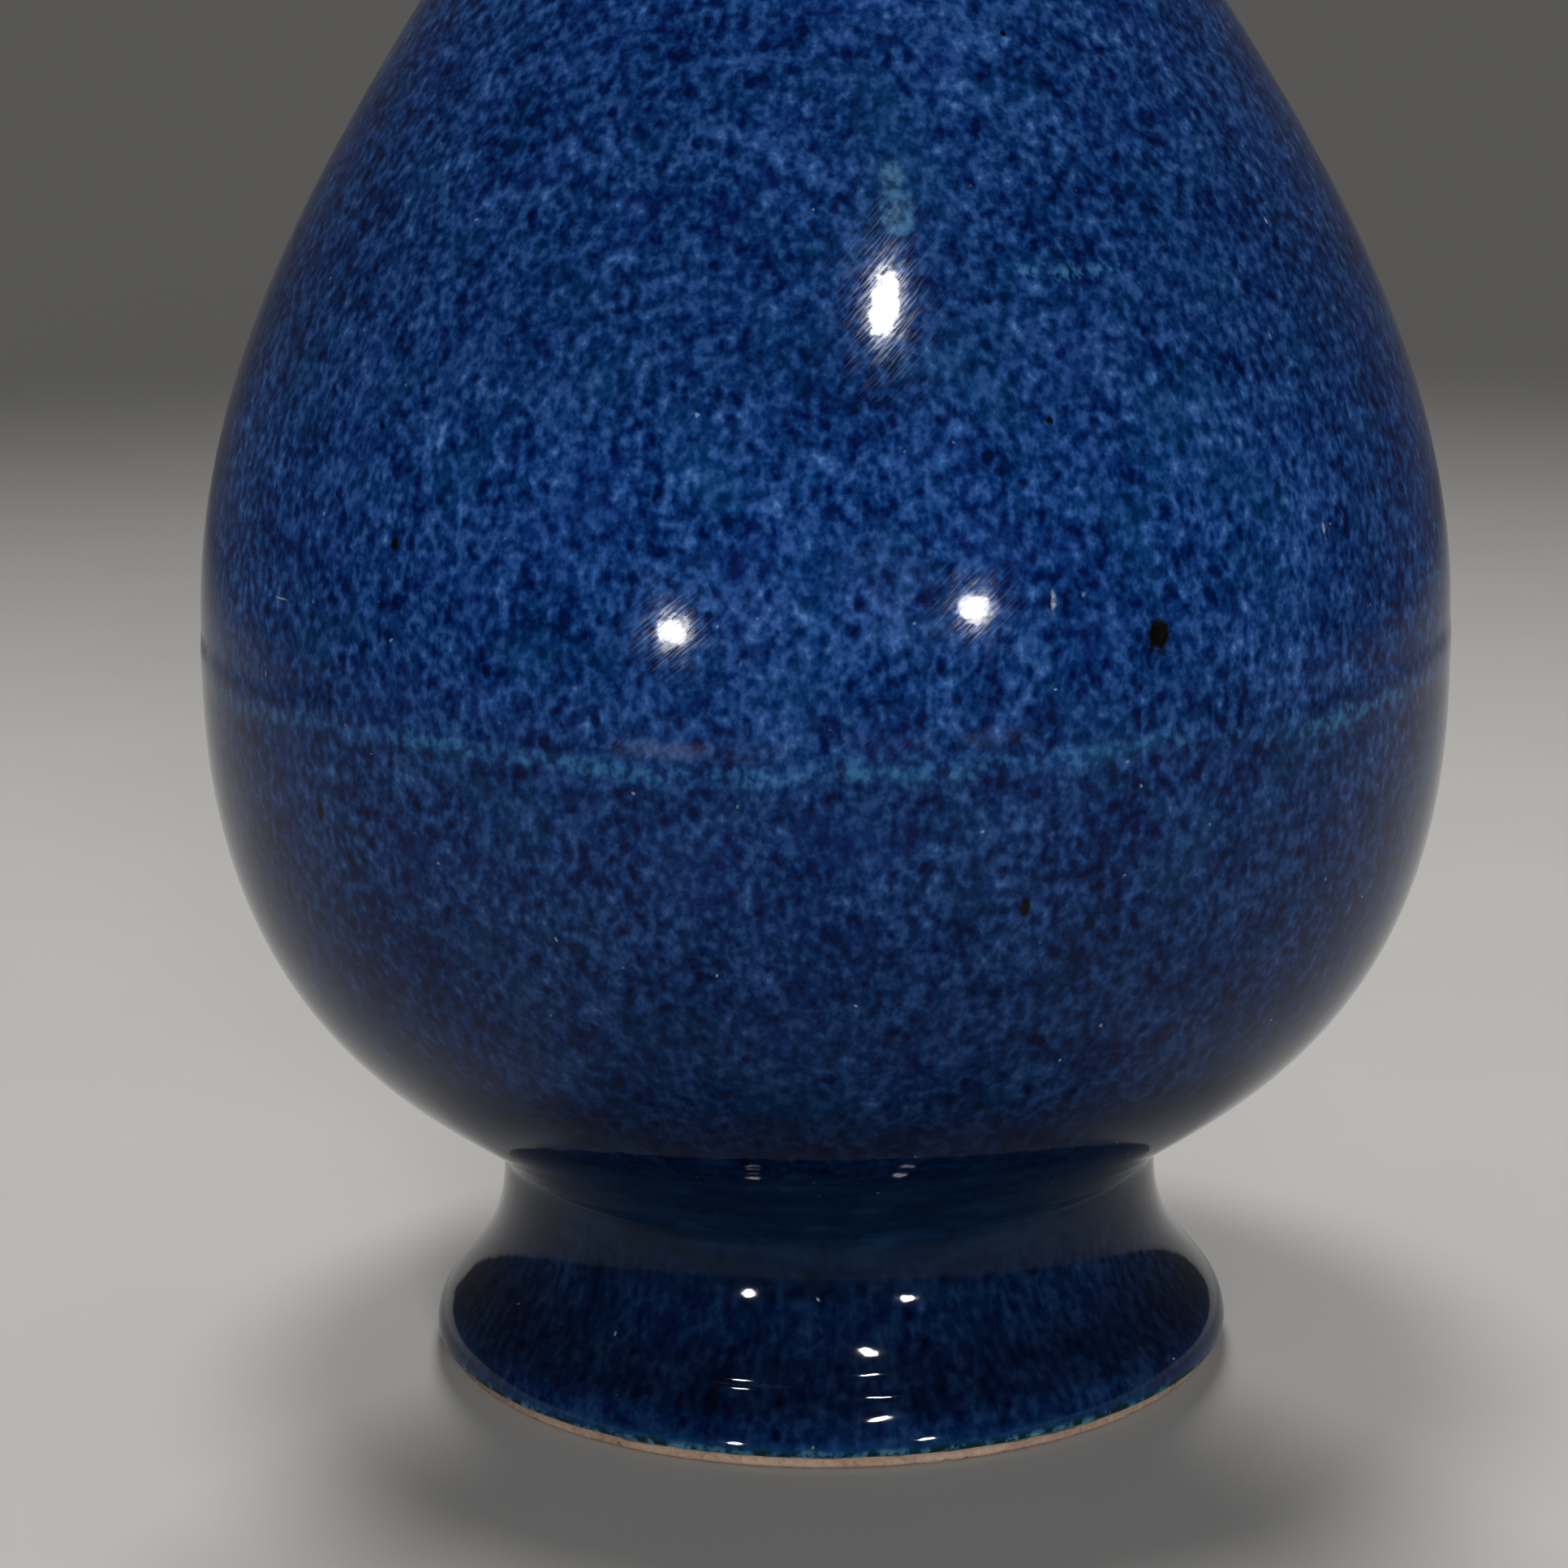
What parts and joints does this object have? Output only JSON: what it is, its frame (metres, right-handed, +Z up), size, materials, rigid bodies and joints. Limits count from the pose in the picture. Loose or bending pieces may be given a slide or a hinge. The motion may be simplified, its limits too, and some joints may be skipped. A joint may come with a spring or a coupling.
{
  "type": "pear-shaped vase",
  "caption": "Pear-shaped glazed porcelain bottle vase with a full belly, slender neck, flared mouth and high splayed foot, for flowers or display.",
  "frame": {"origin": "centre of the foot's flat underside, on the table", "axes": "+Z up along the axis that the vase is turned about; X and Y lie in the table and are interchangeable"},
  "size_m": [0.1906, 0.1906, 0.3224],
  "materials": {
    "biscuit": "bare fired clay, matt",
    "porcelain": "bare fired clay under glaze",
    "slip": "bare fired slip under glaze",
    "blue_glaze": "glossy mottled cobalt glaze",
    "clear_glaze": "glossy clear glaze over white clay"
  },
  "bodies": {
    "root": {"foot_ring": "biscuit", "lower_body": "porcelain", "upper_body": "porcelain", "neck": "porcelain", "foot_lute": "slip", "belly_lute": "slip", "neck_lute": "slip", "outer_glaze": "blue_glaze", "inner_glaze": "clear_glaze", "base_glaze": "clear_glaze"}
  },
  "joints": []
}
